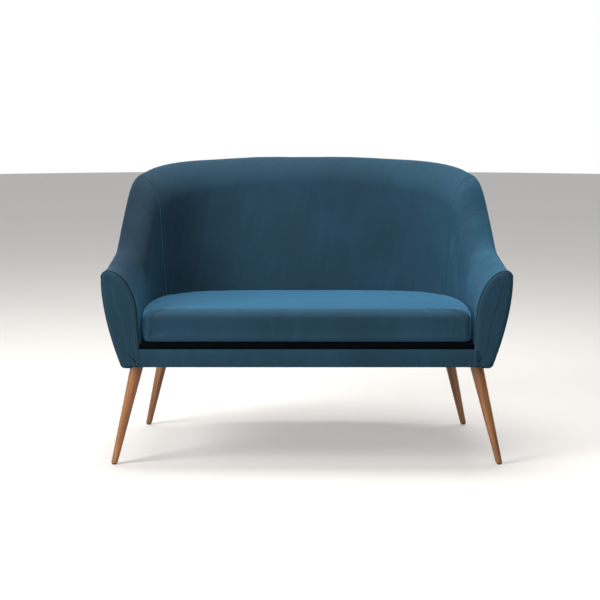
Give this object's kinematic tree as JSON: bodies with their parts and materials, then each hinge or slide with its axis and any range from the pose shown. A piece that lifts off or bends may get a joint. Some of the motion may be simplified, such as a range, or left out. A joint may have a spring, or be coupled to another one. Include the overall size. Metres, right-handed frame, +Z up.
{
  "type": "sofa",
  "caption": "Compact velvet tub sofa: curved back sweeping down into flared arms, one loose bench cushion, splayed tapered round wooden legs.",
  "frame": {"origin": "on the floor under the middle of the sofa's box", "axes": "+X along the sofa to the right seen from the front, -Y to the front, +Z up"},
  "size_m": [1.2056, 0.7028, 0.8906],
  "materials": {
    "board": "thin fibreboard",
    "foam": "upholstery foam and wadding",
    "glide": "dark brown plastic",
    "leg_wood": "walnut-stained, satin lacquer",
    "lining": "black non-woven cloth",
    "steel": "zinc-plated",
    "timber": "raw pine and plywood",
    "velvet": "short-pile velvet, dark petrol blue",
    "webbing": "woven elastic webbing",
    "zip_metal": "moulded coil and enamelled slider",
    "zip_tape": "woven tape"
  },
  "bodies": {
    "sofa_body": {"arm_foam_left": "foam", "arm_foam_right": "foam", "arm_front_panel_left": "timber", "arm_front_panel_right": "timber", "arm_top_rail_left": "timber", "arm_top_rail_right": "timber", "back_foam": "foam", "back_post_left": "timber", "back_post_right": "timber", "back_webbing": "webbing", "centre_stretcher": "timber", "deck_cloth": "lining", "deck_felt": "foam", "dust_cover": "lining", "facing_cover_left": "velvet", "facing_cover_right": "velvet", "facing_pad_left": "foam", "facing_pad_right": "foam", "foot_glides": "glide", "frame_screws": "steel", "front_band_cover": "velvet", "front_band_pad": "foam", "front_corner_block_left": "timber", "front_corner_block_right": "timber", "front_leg_left": "leg_wood", "front_leg_right": "leg_wood", "front_rail": "timber", "hanger_bolts": "steel", "inside_arm_cover_left": "velvet", "inside_arm_cover_right": "velvet", "inside_back_cover": "velvet", "leg_inserts": "steel", "lower_back_rail": "timber", "outside_arm_board_left": "board", "outside_arm_board_right": "board", "outside_arm_cover_left": "velvet", "outside_arm_cover_right": "velvet", "outside_back_board": "board", "outside_back_cover": "velvet", "rear_corner_block_left": "timber", "rear_corner_block_right": "timber", "rear_leg_left": "leg_wood", "rear_leg_right": "leg_wood", "rear_rail": "timber", "seat_springs": "steel", "side_rail_left": "timber", "side_rail_right": "timber", "spring_clips": "steel", "top_back_rail": "timber"},
    "seat_cushion": {"seat_cushion_cover": "velvet", "seat_cushion_core": "foam", "zip_tapes": "zip_tape", "zip_chain": "zip_metal"},
    "zip_slider_body": {"zip_slider": "zip_metal"}
  },
  "joints": [
    {"name": "cushion_lift", "type": "slide", "parent": "sofa_body", "child": "seat_cushion", "axis": [0, 0, 1], "range_m": [0, 0.55]},
    {"name": "zip_slide", "type": "slide", "parent": "seat_cushion", "child": "zip_slider_body", "axis": [1, 0, 0], "range_m": [0, 0.48]}
  ]
}
